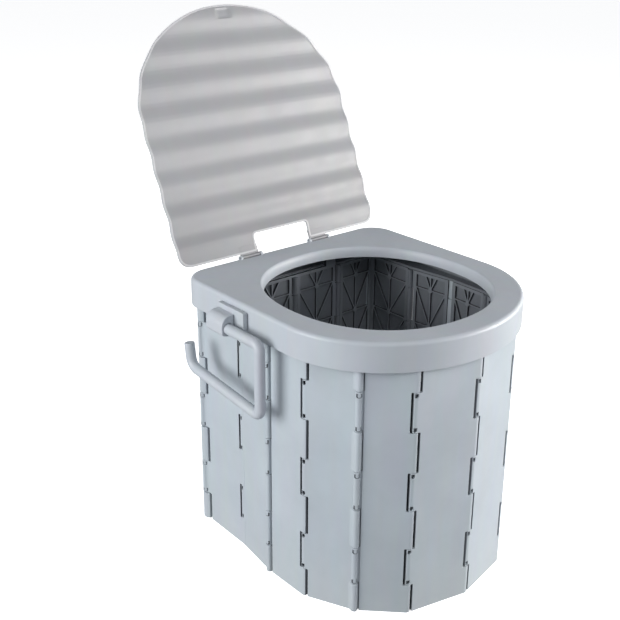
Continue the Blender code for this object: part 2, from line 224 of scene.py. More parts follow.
def mix_colour(tree, factor, first, second, blend="MIX"):
    """A colour mix. Each of the three is a socket to link or a plain value."""
    made = node(tree, "ShaderNodeMix", data_type="RGBA", blend_type=blend)
    for place, value in ((0, factor), (6, first), (7, second)):
        if isinstance(value, bpy.types.NodeSocket):
            tree.links.new(value, made.inputs[place])
        else:
            made.inputs[place].default_value = value
    return made.outputs[2]


def noise(tree, place, **values):
    made = node(tree, "ShaderNodeTexNoise", **values)
    tree.links.new(place, made.inputs["Vector"])
    return made


def height_above_floor(tree, place):
    split = node(tree, "ShaderNodeSeparateXYZ")
    tree.links.new(place, split.inputs["Vector"])
    return split.outputs["Z"]


def edge_mask(tree):
    """EDGE_WEAR on sharp edges, 0 on flat faces."""
    shape = node(tree, "ShaderNodeNewGeometry")
    soft = node(tree, "ShaderNodeBevel", samples=4, Radius=0.0009)
    match = node(tree, "ShaderNodeVectorMath", operation="DOT_PRODUCT")
    tree.links.new(shape.outputs["True Normal"], match.inputs[0])
    tree.links.new(soft.outputs["Normal"], match.inputs[1])
    return map_range(tree, match.outputs["Value"], 0.99, 0.8, 0.0, EDGE_WEAR)


def plastic(name, colour, rough, spread=0.05, grain=1400.0, dust=0.0, painted_shading=()):
    """Moulded plastic: cloudy tone, fine spark grain, faint flow marks, scuffs and pale edges.

    The last argument holds (height in m, factor) stops: painted light and shade that scale the colour
    along the part's height.
    """
    mat = bpy.data.materials.new(name)
    mat.use_nodes = True
    tree = mat.node_tree
    link = tree.links.new
    shader = tree.nodes["Principled BSDF"]
    place = node(tree, "ShaderNodeTexCoord").outputs["Object"]

    cloud = noise(tree, place, Scale=14.0, Detail=4.0, Roughness=0.6)
    dark = tuple(c * (1.0 - spread) for c in colour)
    pale = tuple(min(1.0, c * (1.0 + spread)) for c in colour)
    tone = ramp(tree, cloud.outputs["Fac"], [(0.3, dark), (0.7, pale)])

    # Flow marks run up the part and are only a hint of tone.
    stretch = node(tree, "ShaderNodeMapping", Scale=(60.0, 60.0, 9.0))
    link(place, stretch.inputs["Vector"])
    flow = noise(tree, stretch.outputs["Vector"], Scale=1.0, Detail=3.0, Distortion=0.6)
    last = mix_colour(tree, 0.05, tone, flow.outputs["Color"], "OVERLAY")

    # Edges are a little paler where handling has polished them.
    worn = (*[min(1.0, c * EDGE_POLISH) for c in colour], 1.0)
    last = mix_colour(tree, edge_mask(tree), last, worn)

    if dust > 0.0:
        low = map_range(tree, height_above_floor(tree, place), 0.0, DUST_HEIGHT, dust, 0.0)
        patch = node(tree, "ShaderNodeMath", operation="MULTIPLY")
        link(low, patch.inputs[0])
        link(cloud.outputs["Fac"], patch.inputs[1])
        last = mix_colour(tree, patch.outputs["Value"], last, DUST_COLOUR)
    # Painted light and shade: the colour is scaled by a ramp over height.
    if painted_shading:
        stops = [(level, (factor, factor, factor)) for level, factor in painted_shading]
        shade = ramp(tree, height_above_floor(tree, place), stops, "B_SPLINE")
        painted_shading_node = node(tree, "ShaderNodeVectorMath", operation="MULTIPLY")
        link(last, painted_shading_node.inputs[0])
        link(shade, painted_shading_node.inputs[1])
        last = painted_shading_node.outputs["Vector"]
    link(last, shader.inputs["Base Color"])

    scuff = noise(tree, place, Scale=55.0, Detail=6.0, Roughness=0.7)
    gloss = map_range(tree, scuff.outputs["Fac"], 0.3, 0.7, rough - 0.07, rough + 0.07)
    link(gloss, shader.inputs["Roughness"])

    spark = noise(tree, place, Scale=grain, Detail=2.0)
    fine = node(tree, "ShaderNodeBump", Strength=0.35, Distance=0.00005)
    link(spark.outputs["Fac"], fine.inputs["Height"])
    sink = node(tree, "ShaderNodeBump", Strength=0.25, Distance=0.0002)
    link(cloud.outputs["Fac"], sink.inputs["Height"])
    link(fine.outputs["Normal"], sink.inputs["Normal"])
    link(sink.outputs["Normal"], shader.inputs["Normal"])
    shader.inputs["Specular IOR Level"].default_value = 0.4
    return mat


WALL = plastic("wall_finish", (0.42, 0.47, 0.515), 0.52, dust=0.25)
# Painted shade: a darker copy of the wall's colour for the inside of the ring, the sides of cut
# edges, the U slots, the inner knuckles and the seat's underside.
INNER_PAINTED_SHADE = plastic("wall_inner_finish", (0.16, 0.175, 0.197), 0.55, dust=0.05)
# Painted shade: the tops of the ribs inside the ring, darker than the wall's own colour.
RIBS_PAINTED_SHADE = plastic("wall_rib_finish", (0.20, 0.22, 0.245), 0.5, dust=0.05)
# Painted shadow: the faces of the ribs that stand up from the skin, nearly black.
SHADE = plastic("wall_rib_side_finish", (0.05, 0.055, 0.063), 0.6, dust=0.05)
SEAT = plastic("seat_finish", (0.44, 0.475, 0.52), 0.42, spread=0.03, grain=1800.0)
# Painted shade and light on the lid: darker at its lower end, a little lighter higher up, by height.
LID = plastic("lid_finish", (0.315, 0.323, 0.340), 0.45, spread=0.025, grain=1800.0,
              painted_shading=((0.34, 0.78), (0.45, 1.10), (1.0, 1.0)))
LID_EDGE = plastic("lid_edge_finish", (0.46, 0.47, 0.49), 0.45, spread=0.025, grain=1800.0)
HOLDER = plastic("holder_finish", (0.45, 0.485, 0.53), 0.40, spread=0.03, grain=1800.0)


# ---------------------------------------------------------------- outlines
def area(points):
    return 0.5 * sum(p[0] * q[1] - q[0] * p[1] for p, q in zip(points, points[1:] + points[:1]))


def arc(x, y, rx, ry, first, last, count):
    """Points on an ellipse from angle first to last, both ends included."""
    angles = [first + (last - first) * k / count for k in range(count + 1)]
    return [(x + rx * math.cos(a), y + ry * math.sin(a)) for a in angles]


def circle(x, y, r, count):
    return [(x + r * math.cos(2 * math.pi * k / count), y + r * math.sin(2 * math.pi * k / count))
            for k in range(count)]


def between(p, q, count):
    """The points that divide the line p to q in equal parts, without its ends."""
    return [(p[0] + (q[0] - p[0]) * k / count, p[1] + (q[1] - p[1]) * k / count)
            for k in range(1, count)]


def turn_point(p, corner, q, t):
    """A point on the curve from p to q that cuts the corner, t from 0 to 1."""
    return p * (1 - t) ** 2 + corner * (2 * t * (1 - t)) + q * t ** 2


def rounded(corners, steps=4):
    """A closed outline from (x, y, radius) corners."""
    points = []
    for k, (x, y, r) in enumerate(corners):
        here = Vector((x, y))
        back = Vector(corners[k - 1][:2]) - here
        ahead = Vector(corners[(k + 1) % len(corners)][:2]) - here
        reach = min(r, 0.45 * back.length, 0.45 * ahead.length)
        if reach < 0.05:
            points.append((x, y))
            continue
        p, q = here + back.normalized() * reach, here + ahead.normalized() * reach
        points += [tuple(turn_point(p, here, q, j / steps)) for j in range(steps + 1)]
    return points


# ---------------------------------------------------------------- mesh tools
def show(name, data):
    """A new object in the scene."""
    ob = bpy.data.objects.new(name, data)
    bpy.context.scene.collection.objects.link(ob)
    return ob


def mesh_from(name, bm):
    """The bmesh becomes mesh data and is freed."""
    mesh = bpy.data.meshes.new(name)
    bm.to_mesh(mesh)
    bm.free()
    return mesh


def bake(ob):
    """The object's shape, modifiers included, as a bmesh. The object and its data go."""
    deps = bpy.context.evaluated_depsgraph_get()
    mesh = bpy.data.meshes.new_from_object(ob.evaluated_get(deps))
    bm = bmesh.new()
    bm.from_mesh(mesh)
    bpy.data.batch_remove([mesh, ob, ob.data])
    return bm


def piece(name, bm, material, body, nodes, angle=50.0):
    """A mesh in the row frame becomes one shown piece that rides on a body."""
    bmesh.ops.recalc_face_normals(bm, faces=bm.faces)
    mesh = mesh_from(name, bm)
    mesh.materials.append(material)
    mesh.shade_smooth()
    mesh.set_sharp_from_angle(angle=math.radians(angle))
    ob = show(name, mesh)
    normals = ob.modifiers.new("flat faces stay flat", "WEIGHTED_NORMAL")
    normals.keep_sharp = True
    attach(ob, body)
    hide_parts(*nodes)
    return ob


def paint_shade_on_faces(ob, material, chosen):
    """Faces for which chosen(face) is true get this other material, which paints shade on them."""
    ob.data.materials.append(material)
    for face in ob.data.polygons:
        if chosen(face):
            face.material_index = 1


def plate(loops, t0, t1, bevel, steps=2):
    """An outline and its holes, filled, given thickness t0..t1 along Z, with rounded edges."""
    curve = bpy.data.curves.new("plate", "CURVE")
    curve.dimensions = "2D"
    curve.fill_mode = "BOTH"
    curve.extrude = (0.5 * (t1 - t0) - bevel) * MM
    curve.bevel_depth = bevel * MM
    curve.bevel_resolution = steps - 1
    curve.offset = -bevel * MM
    for k, loop in enumerate(loops):
        if (area(loop) > 0) != (k == 0):
            loop = list(reversed(loop))
        spline = curve.splines.new("POLY")
        spline.points.add(len(loop) - 1)
        for point, (x, y) in zip(spline.points, loop):
            point.co = (x * MM, y * MM, 0.0, 1.0)
        spline.use_cyclic_u = True
    bm = bake(show("plate", curve))
    bmesh.ops.translate(bm, verts=bm.verts, vec=(0.0, 0.0, 0.5 * (t0 + t1) * MM))
    bmesh.ops.remove_doubles(bm, verts=bm.verts, dist=0.000005)
    return bm


def block(lo, hi):
    bm = bmesh.new()
    bmesh.ops.create_cube(bm, size=1.0)
    for vert in bm.verts:
        for k in range(3):
            vert.co[k] = (lo[k] if vert.co[k] < 0 else hi[k]) * MM
    return bm


def loft(bm, loops, closed=False):
    """Faces between neighbouring loops of vertices, and round to the first where closed."""
    following = loops[1:] + loops[:1] if closed else loops[1:]
    for low, high in zip(loops, following):
        for k in range(len(low)):
            n = (k + 1) % len(low)
            bm.faces.new((low[k], low[n], high[n], high[k]))


def join(target, other):
    mesh = mesh_from("join", other)
    target.from_mesh(mesh)
    bpy.data.meshes.remove(mesh)


def move_points(bm, rule):
    """Every vertex goes where rule(x, y, z) says, all in mm."""
    for vert in bm.verts:
        vert.co = Vector(rule(*(vert.co / MM))) * MM


def along_x(bm):
    """A plate drawn in (y, z) and given thickness along x."""
    move_points(bm, lambda x, y, z: (z, x, y))
    return bm


def along_y(bm):
    """A plate drawn in (x, z) and given thickness along y."""
    move_points(bm, lambda x, y, z: (x, z, y))
    return bm


def slice_rows(bm, values, axis):
    """New edges where the mesh crosses these places along an axis."""
    for value in values:
        point, normal = [0.0] * 3, [0.0] * 3
        point[axis], normal[axis] = value * MM, 1.0
        geometry = list(bm.verts) + list(bm.edges) + list(bm.faces)
        bmesh.ops.bisect_plane(bm, geom=geometry, dist=0.000001, plane_co=point, plane_no=normal)


def cut(bm, cutters):
    """EXACT Boolean difference of closed meshes from bm; all of them are freed."""
    objects = []
    for source in [bm] + cutters:
        bmesh.ops.recalc_face_normals(source, faces=source.faces)
        objects.append(show("cut", mesh_from("cut", source)))
    base = objects[0]
    for ob in objects[1:]:
        mod = base.modifiers.new("cut", "BOOLEAN")
        mod.operation = "DIFFERENCE"
        mod.solver = "EXACT"
        mod.object = ob
    bpy.context.view_layer.update()
    result = bake(base)
    for ob in objects[1:]:
        bpy.data.batch_remove([ob, ob.data])
    bmesh.ops.remove_doubles(result, verts=result.verts, dist=0.000005)
    return result


# ---------------------------------------------------------------- ring geometry
def ring_vertex(j):
    if j < 0:
        return Vector((-RING[-j][0], RING[-j][1]))
    if j > PANELS:
        return Vector((-RING[2 * PANELS - j][0], RING[2 * PANELS - j][1]))
    return Vector(RING[j])


def inward(direction):
    return Vector((direction.y, -direction.x))


def corner_turn(j):
    """Mean direction at ring corner j and half its turn, less than 0 where the ring turns out."""
    before = (ring_vertex(j) - ring_vertex(j - 1)).normalized()
    after = (ring_vertex(j + 1) - ring_vertex(j)).normalized()
    return (before + after).normalized(), 0.5 * math.atan2(after.cross(before), after.dot(before))


def ring_inner(j, depth):
    """The point where the two faces at a depth inside ring corner j meet."""
    middle, half = corner_turn(j)
    return ring_vertex(j) + inward(middle) * (depth / math.cos(half))


def ring_loop(depth):
    """The whole ring at a depth, from the middle of the back round by the front."""
    half = [ring_inner(j, depth) for j in range(PANELS + 1)]
    return half + [Vector((-p.x, p.y)) for p in reversed(half[1:-1])]


def hinge(j):
    """Axis at ring corner j, and half the turn there."""
    depth = PANEL_T + HINGE_GAP if HINGE_SIDE[j] == "in" else -HINGE_GAP
    return ring_inner(j, depth), corner_turn(j)[1]


def sharp(j):
    return hinge(j)[1] > SHARP_TURN


def hinge_cut(j):
    """The usual distance at which a plate stops short of ring corner j."""
    if sharp(j):
        return SHARP_CUT
    offset = PANEL_T + HINGE_GAP if HINGE_SIDE[j] == "in" else 0.0
    return max(LEAST_CUT, offset * math.tan(hinge(j)[1]) + KNUCKLE_R + 0.7)


def own_rows(side, start):
    """Rows of knuckles that a panel carries: even rows are on the left seen from outside."""
    even = (side > 0) == start
    return [k for k in range(LAST_ROW + 1) if (k % 2 == 0) == even]


class Panel:
    """Panel i of the right (side +1) or left (side -1) half, in its own flat frame.

    u runs along the outer face from ring corner i, w goes inward and z is up. An edge of the
    panel is its start, at ring corner i, or its end, at ring corner i + 1.
    """

    def __init__(self, side, i):
        self.side, self.i = side, i
        self.first, second = ring_vertex(i), ring_vertex(i + 1)
        self.length = (second - self.first).length
        self.along = (second - self.first).normalized()
        self.normal = inward(self.along)
        angle = math.atan2(self.along.y, self.along.x)
        if side < 0:
            angle = math.pi - angle
        self.matrix = Matrix.Translation((side * self.first.x * MM, self.first.y * MM, 0.0)) \
            @ Matrix.Rotation(angle, 4, "Z")
        letter = "r" if side > 0 else "l"
        self.node = "wall_%s%d" % (letter, i + 1)
        self.body = "back_wall" if i == 0 else "panel_%s%d" % (letter, i + 1)

    def corner(self, start):
        return self.i if start else self.i + 1

    def axis(self, start):
        """The hinge axis at an edge, as (u, w)."""
        point = hinge(self.corner(start))[0] - self.first
        return point.dot(self.along), point.dot(self.normal)

    def fingers(self, start):
        """True if the plate itself carries fingers at this edge."""
        return HINGE_SIDE[self.corner(start)] == "in"

    def leads(self, start):
        """True if this edge is the left one of its hinge, seen from outside."""
        return 0 in own_rows(self.side, start)

    def edge(self, start, layer):
        """How far the plate stops short of the ring corner."""
        j = self.corner(start)
        if sharp(j) and not self.leads(start) and layer == "skin":
            return WRAP_CUT
        if not self.fingers(start) and self.leads(start):
            return KNUCKLE_R + BARREL_GAP - HINGE_GAP * math.tan(hinge(j)[1])
        if not self.fingers(start) and not sharp(j):
            return OUTER_SLIT if layer == "skin" else DARK_EDGE
        return hinge_cut(j)

    def reach(self, start):
        """How far a finger goes past the ring corner."""
        j = self.corner(start)
        slit = CLOSED_SLIT if j == CLOSED_HINGE and self.leads(start) else SLIT
        return (hinge_cut(j) - slit) * math.cos(2.0 * hinge(j)[1])

    def edge_steps(self, start, layer):
        """The stepped edge from bottom to top, as (distance past the ring corner, z)."""
        own = own_rows(self.side, start) if self.fingers(start) else []
        space = CLOSED_GAP if self.corner(start) == CLOSED_HINGE else ROW_GAP
        steps = []
        for k in range(LAST_ROW + 1):
            past, gap = (self.reach(start), space) if k in own else (-self.edge(start, layer), -space)
            z0 = ROWS[k] + gap if k > 0 else ROWS[0]
            z1 = ROWS[k + 1] - gap if k < LAST_ROW else ROWS[-1]
            steps += [(past, z0), (past, z1)]
        merged = [steps[0]]
        for step, following in zip(steps[1:], steps[2:] + [None]):
            if following is None or step[0] != following[0] or merged[-1][0] != step[0]:
                merged.append(step)
        return merged

    def outline(self, layer):
        """The plate's outline as (u, z, corner radius)."""
        right = [(self.length + past, z) for past, z in self.edge_steps(False, layer)]
        left = [(-past, z) for past, z in self.edge_steps(True, layer)]
        if self.i == 0:
            short = self.length - self.edge(False, layer)
            if right[-1][0] != short:
                right.append((short, ROWS[-1]))
            else:
                right.pop()
            right += [(short, BACK_TOP), (BACK_NOTCH_X, BACK_TOP), (BACK_NOTCH_X, BACK_NOTCH_Z)]
            left += [(CLOSED_GAP, ROWS[-1]), (CLOSED_GAP, BACK_NOTCH_Z)]
        return [(u, z, CORNER_R) for u, z in right + left[::-1]]

    def slots(self):
        """Slots over the pin ends, in the fingers that don't lead."""
        loops = []
        for start in (True, False):
            if not self.fingers(start) or self.leads(start):
                continue
            u = 0.0 if start else self.length
            half = self.reach(start) - SLOT_MARGIN
            for k in own_rows(self.side, start):
                for z in (ROWS[k] + SLOT_INSET, ROWS[k + 1] - SLOT_INSET - SLOT_H):
                    loops.append(slot_loop(u, z, half))
        return loops

    def bend(self, bm):
        """Fingers past a corner turn with the ring, so that they lie flush with the next panel."""
        for start in (True, False):
            turn = 2.0 * hinge(self.corner(start))[1]
            if not self.fingers(start) or abs(turn) < 0.01:
                continue
            sign, base = (-1.0, 0.0) if start else (1.0, self.length)
            places = (-3.0, -BEND_LIMIT, -0.5 * BEND_LIMIT, 0.0, 0.5 * BEND_LIMIT, BEND_LIMIT)
            slice_rows(bm, [base + sign * past for past in places], 0)
            slope = math.tan(turn)

            def lift(u, y, z):
                past = sign * (u - base)
                if past <= -BEND_LIMIT:
                    rise = 0.0
                elif past >= BEND_LIMIT:
                    rise = slope * past
                else:
                    rise = slope * (past + BEND_LIMIT) ** 2 / (4.0 * BEND_LIMIT)
                return u, y - self.side * rise, z
            move_points(bm, lift)

    def layer(self, loops, w0, w1, bevel):
        """A plate between two depths, with its fingers bent, in its place in the ring."""
        bm = plate(loops, w0, w1, bevel)
        move_points(bm, lambda x, y, z: (x, -self.side * z, y))
        self.bend(bm)
        bmesh.ops.transform(bm, matrix=self.matrix, verts=bm.verts)
        return bm


def slot_loop(u, z, half, tongue=0.0):
    """Outline of a slot, half its width given; with half a tongue's width it is a U."""
    corner = min(1.2, half - 0.1)
    low, high = z + 0.7, z + SLOT_H
    corners = [(u - half, z, corner), (u + half, z, corner), (u + half, high, 0.2)]
    if tongue:
        corners += [(u + tongue, high, 0.2), (u + tongue, low, 0.8), (u - tongue, low, 0.8),
                    (u - tongue, high, 0.2)]
    corners.append((u - half, high, 0.2))
    return rounded(corners, 2)


# ---------------------------------------------------------------- wall
def inset(polygon, d):
    """A convex polygon with every side moved in by d."""
    if area(polygon) < 0:
        polygon = polygon[::-1]
    lines = []
    for p, q in zip(polygon, polygon[1:] + polygon[:1]):
        p, q = Vector(p), Vector(q)
        t = (q - p).normalized()
        lines.append((p + Vector((-t.y, t.x)) * d, t))
    points = []
    for (p, t), (q, s) in zip([lines[-1]] + lines[:-1], lines):
        k = (q - p).cross(s) / t.cross(s)
        points.append(tuple(p + t * k))
    return points


def rib_cells(low, high, top):
    """Pockets between the ribs: a centre rib, one cross rib a row and a V up from each node."""
    mid, half = 0.5 * (low + high), 0.5 * (high - low)
    cells = []
    for side in (-1.0, 1.0):
        out = mid + side * half
        first = RIB_ROWS[0]
        cells.append([(mid, FRAME_W), (mid, first), (out, FRAME_W)])
        cells.append([(out, FRAME_W), (mid, first), (out, first)])
        for z0, z1 in zip(RIB_ROWS[:-1], RIB_ROWS[1:]):
            cells.append([(mid, z0), (mid, z1), (out, z1)])
            cells.append([(mid, z0), (out, z1), (out, z0)])
        z0, z1 = RIB_ROWS[-1], top - FRAME_W
        part = mid + side * half * (z1 - z0) / (RIB_ROWS[1] - RIB_ROWS[0])
        cells.append([(mid, z0), (mid, z1), (part, z1)])
        cells.append([(mid, z0), (part, z1), (out, z1), (out, z0)])
    return [inset(cell, 0.5 * RIB_W) for cell in cells]


def build_skin(panel, facing):
    """The outer skin, with painted shade (the darker inside colour) on its inner side and on the side
    faces of its cut edges, such as slits and slots.
    """
    skin = panel.layer([rounded(panel.outline("skin"), 3)] + panel.slots(), 0.0, SKIN_T, SKIN_BEVEL)
    shown = piece(panel.node + "_skin", skin, WALL, panel.body, (panel.node,))
    paint_shade_on_faces(shown, INNER_PAINTED_SHADE, lambda face: face.normal.dot(facing)
                  > (0.8 if abs(face.normal.z) > 0.3 else -0.12))


def build_ribs(panel, facing):
    """The ribs with a boss at each node, in painted shade, with a darker painted shadow on the faces
    that stand up from the skin.
    """
    low = hinge_cut(panel.i)
    high = panel.length - hinge_cut(panel.i + 1)
    top = BACK_NOTCH_Z if panel.i == 0 else ROWS[-1]
    cells = rib_cells(low + FRAME_W, high - FRAME_W, top)
    ribs = panel.layer([rounded(panel.outline("ribs"), 3)] + panel.slots() + cells,
                       SKIN_T - RIB_SINK, PANEL_T, RIB_BEVEL)
    for z in RIB_ROWS:
        boss = plate([circle(0.5 * (low + high), z, BOSS_R, 20)], SKIN_T - RIB_SINK,
                     PANEL_T + BOSS_RISE, 0.5)
        move_points(boss, lambda x, y, t: (x, -panel.side * t, y))
        bmesh.ops.transform(boss, matrix=panel.matrix, verts=boss.verts)
        join(ribs, boss)
    shown = piece(panel.node + "_ribs", ribs, RIBS_PAINTED_SHADE, panel.body, (panel.node,))
    paint_shade_on_faces(shown, SHADE, lambda face: abs(face.normal.dot(facing)) < 0.3)


def barrel_blend(root, face, flat):
    """Outline from the plate's face on to a barrel, which it joins along its tangent."""
    sine, cosine = math.sin(BLEND_START), math.cos(BLEND_START)
    p, q = Vector((-KNUCKLE_R - 4.0, face)), KNUCKLE_R * Vector((cosine, flat * sine))
    corner = q + Vector((sine, -flat * cosine)).normalized() * 1.9
    steps = 7
    points = [tuple(turn_point(p, corner, q, k / steps)) for k in range(steps)]
    return [(min(root, p.x - 0.5), face)] + points


def knuckle_profile(panel, start):
    """Plan of one outer knuckle: a barrel round the axis and a neck to the panel's plate.

    It is drawn as (distance out from the axis along the plate, distance in from it).
    """
    au, aw = panel.axis(start)
    corner_sharp, leads = sharp(panel.corner(start)), panel.leads(start)
    root = -(panel.edge(start, "skin") + 2.0)
    flat = 1.0 if corner_sharp else BARREL_FLAT
    if leads or corner_sharp:
        first, points = BLEND_START, barrel_blend(root, -aw + 0.02, flat)
    else:
        first, points = NECK_START, [(root, 1.9), (-3.4, 1.9), (-2.9, 0.9)]
    points += arc(0.0, 0.0, KNUCKLE_R, flat * KNUCKLE_R, first, 2.0 * math.pi, 20)
    if corner_sharp and leads:
        points += [(3.3, 1.4), (2.7, 3.6), (1.3, 6.2), (0.2, 7.4), (-2.4, 7.4), (-2.4, NECK_DEPTH)]
    elif corner_sharp:
        points += [(3.3, 1.4), (2.7, 3.2), (0.4, 3.4), (-1.0, NECK_DEPTH)]
    else:
        points += [(KNUCKLE_R, 0.3), (3.5, 0.8), (3.5, NECK_DEPTH)]
    points.append((root, NECK_DEPTH))
    sign = -1.0 if start else 1.0
    return [(au + sign * out, aw + deep) for out, deep in points]


def slot_cutter(panel, start, z):
    """The U slot in an outer knuckle, cut square to the barrel on the outside of the corner."""
    au, aw = panel.axis(start)
    half = hinge(panel.corner(start))[1]
    turn = half if start else -half
    bm = plate([slot_loop(0.0, z, BARREL_SLOT, BARREL_TONGUE)], -2.6, 2.6, 0.05)
    for vert in bm.verts:
        across, up, out = vert.co / MM
        deep = -(KNUCKLE_R + out)
        u = across * math.cos(turn) - deep * math.sin(turn)
        w = across * math.sin(turn) + deep * math.cos(turn)
        vert.co = Vector((au + u, -panel.side * (aw + w), up)) * MM
    return bm


def paint_shade_in_slots(bm, panel, start, z0, z1):
    """Faces inside the U slots of an outer knuckle get the second material, a painted shade."""
    au, aw = panel.axis(start)
    for face in bm.faces:
        u, y, z = face.calc_center_median() / MM
        deep = -panel.side * y - aw
        inside = math.hypot(u - au, deep / BARREL_FLAT) < 2.95
        if inside and deep < -0.3 and z0 + 0.5 < z < z1 - 0.5:
            face.material_index = 1


def knuckle(panel, start, k):
    """One knuckle in row k, still in the panel's flat frame."""
    z0 = ROWS[k] + (ROW_GAP if k > 0 else 0.0)
    z1 = ROWS[k + 1] - (ROW_GAP if k < LAST_ROW else 0.0)
    outer = not panel.fingers(start)
    profile = knuckle_profile(panel, start) if outer else circle(*panel.axis(start), KNUCKLE_R, 32)
    part = plate([[(u, -panel.side * w) for u, w in profile]], z0, z1, KNUCKLE_BEVEL)
    if outer and not panel.leads(start):
        places = (z0 + SLOT_INSET, z1 - SLOT_INSET - SLOT_H)
        part = cut(part, [slot_cutter(panel, start, z) for z in places])
        paint_shade_in_slots(part, panel, start, z0, z1)
    return part


def build_knuckles(panel):
    """Outer knuckles in the wall's colour and inner ones in the inside's painted shade, as two
    pieces.
    """
    knuckles, inner = bmesh.new(), bmesh.new()
    for start in (True, False):
        for k in own_rows(panel.side, start):
            part = knuckle(panel, start, k)
            bmesh.ops.transform(part, matrix=panel.matrix, verts=part.verts)
            join(inner if panel.fingers(start) else knuckles, part)
    for suffix, bm, finish in (("_knuckles", knuckles, WALL), ("_inner_knuckles", inner, INNER_PAINTED_SHADE)):
        if bm.verts:
            shown = piece(panel.node + suffix, bm, finish, panel.body, (panel.node,), 40.0)
            # The second material paints shade in the U slots.
            shown.data.materials.append(INNER_PAINTED_SHADE)


def build_wall():
    for side in (1, -1):
        for i in range(PANELS):
            panel = Panel(side, i)
            facing = Vector((panel.normal.x * side, panel.normal.y, 0.0))
            build_skin(panel, facing)
            build_ribs(panel, facing)
            build_knuckles(panel)


# ---------------------------------------------------------------- seat
def seat_outline(grow):
    """Half an ellipse in front, straight sides and round rear corners, always as many points."""
    a, rear_y = SEAT_A + grow, SEAT_REAR_Y + grow
    corner = max(SEAT_CORNER + grow, 4.0)
    x, y = a - corner, rear_y - corner
    points = arc(0.0, SEAT_FRONT_Y, -a, -(SEAT_B + grow), 0.0, math.pi, 72)
    points += between((a, SEAT_FRONT_Y), (a, y), 10)
    points += arc(x, y, corner, corner, 0.0, 0.5 * math.pi, 9)
    points += between((x, rear_y), (-x, rear_y), 16)
    points += arc(-x, y, corner, corner, 0.5 * math.pi, math.pi, 9)
    points += between((-a, y), (-a, SEAT_FRONT_Y), 10)
    return points


def hole_outline(grow, directions):
    """The oval hole, where rays from its centre cross it."""
    points = []
    a, b = HOLE_A + grow, HOLE_B + grow
    for c, s in directions:
        r = (abs(c / a) ** HOLE_POWER + abs(s / b) ** HOLE_POWER) ** (-1.0 / HOLE_POWER)
        points.append((r * c, HOLE_Y + r * s))
    return points


def ledge_outline(directions):
    """Where rays from the hole's centre cross the inner faces of the ring."""
    inner = ring_loop(PANEL_T)
    centre = Vector((0.0, HOLE_Y))
    points = []
    for c, s in directions:
        ray = Vector((c, s))
        best = math.inf
        for p, q in zip(inner, inner[1:] + inner[:1]):
            edge = q - p
            det = ray.cross(edge)
            if abs(det) < 1e-9:
                continue
            t = (p - centre).cross(edge) / det
            m = (p - centre).cross(ray) / det
            if t > 0 and -1e-6 <= m <= 1.0 + 1e-6:
                best = min(best, t)
        points.append((centre.x + best * c, centre.y + best * s))
    return points


def seat_surface():
    """The seat's outer surface, lofted from the lip over the top and the skirt to the ledge."""
    outer = seat_outline(0.0)
    directions = []
    for x, y in outer:
        r = math.hypot(x, y - HOLE_Y)
        directions.append((x / r, (y - HOLE_Y) / r))
    rings = [(hole_outline(LIP_GROW, directions), LIP_BOTTOM)]
    for k in range(10):
        t = 0.5 * math.pi * k / 9
        rings.append((hole_outline(LIP_GROW + LIP_R * (1.0 - math.cos(t)), directions),
                      SEAT_TOP - LIP_H * (1.0 - math.sin(t))))
    for k in range(9):
        t = 0.5 * math.pi * k / 8
        rings.append((seat_outline(-SEAT_EDGE_R * (1.0 - math.sin(t))),
                      SEAT_TOP - SEAT_EDGE_R * (1.0 - math.cos(t))))
    rings += [(outer, 300.0), (outer, SEAT_BOTTOM + 0.7), (seat_outline(-0.25), SEAT_BOTTOM + 0.2),
              (seat_outline(-0.8), SEAT_BOTTOM), (ledge_outline(directions), SEAT_BOTTOM)]
    bm = bmesh.new()
    loft(bm, [[bm.verts.new((x * MM, y * MM, z * MM)) for x, y in points] for points, z in rings])
    bmesh.ops.recalc_face_normals(bm, faces=bm.faces)
    return bm


def build_seat_shell():
    ob = show("shell", mesh_from("shell", seat_surface()))
    solidify = ob.modifiers.new("wall", "SOLIDIFY")
    solidify.thickness = SEAT_T * MM
    solidify.offset = -1.0
    solidify.use_even_offset = True
    bm = bake(ob)

    y, z = LID_AXIS[1:]
    hole_x, hole_z, hole_r = REAR_HOLE
    cutters = [block(*LEDGE_ROOM)]
    for sign in (-1, 1):
        x0, x1 = sorted((sign * (TAB_X0 - 0.5), sign * (TAB_X1 + 0.5)))
        cutters.append(block((x0, y - 3.2, z - 3.3), (x1, y + 6.0, z + 6.0)))
        cutters.append(along_y(plate([circle(sign * hole_x, hole_z, hole_r, 20)],
                                     SEAT_REAR_Y - 6.0, SEAT_REAR_Y + 6.0, 0.05)))
    shown = piece("seat_shell", cut(bm, cutters), SEAT, "seat", ("seat",), 30.0)

    # Painted shade: faces on the inside of the seat's shell, below its top and in front of the rear
    # skirt, get the darker inside colour.
    def painted_shade_underside(face):
        out = Vector((face.center.x, face.center.y - HOLE_Y * MM, 0.0)).normalized()
        low, before_skirt = face.center.z < 0.3045, face.center.y < 0.0165
        return low and before_skirt and face.normal.dot(out) < 0.4
    paint_shade_on_faces(shown, INNER_PAINTED_SHADE, painted_shade_underside)


def build_hinge_ears():
    """Four ears that carry the lid's trunnions, one at each end of each lug."""
    y, z = LID_AXIS[1:]
    foot = z - 6.4
    ears = bmesh.new()
    for sign in (-1, 1):
        for middle in (TAB_X0 - 2.0, TAB_X1 + 2.0):
            profile = [(y + 2.3, foot)]
            profile += arc(y, z - 0.9, EAR_R, EAR_R, 0.0, math.pi, 16)
            profile.append((y - EAR_R, foot))
            x0 = sign * middle - 0.5 * EAR_T
            join(ears, along_x(plate([profile, circle(y, z, 1.35, 16)], x0, x0 + EAR_T, 0.4)))
    piece("seat_hinge_ears", ears, SEAT, "seat", ("seat",), 32.0)


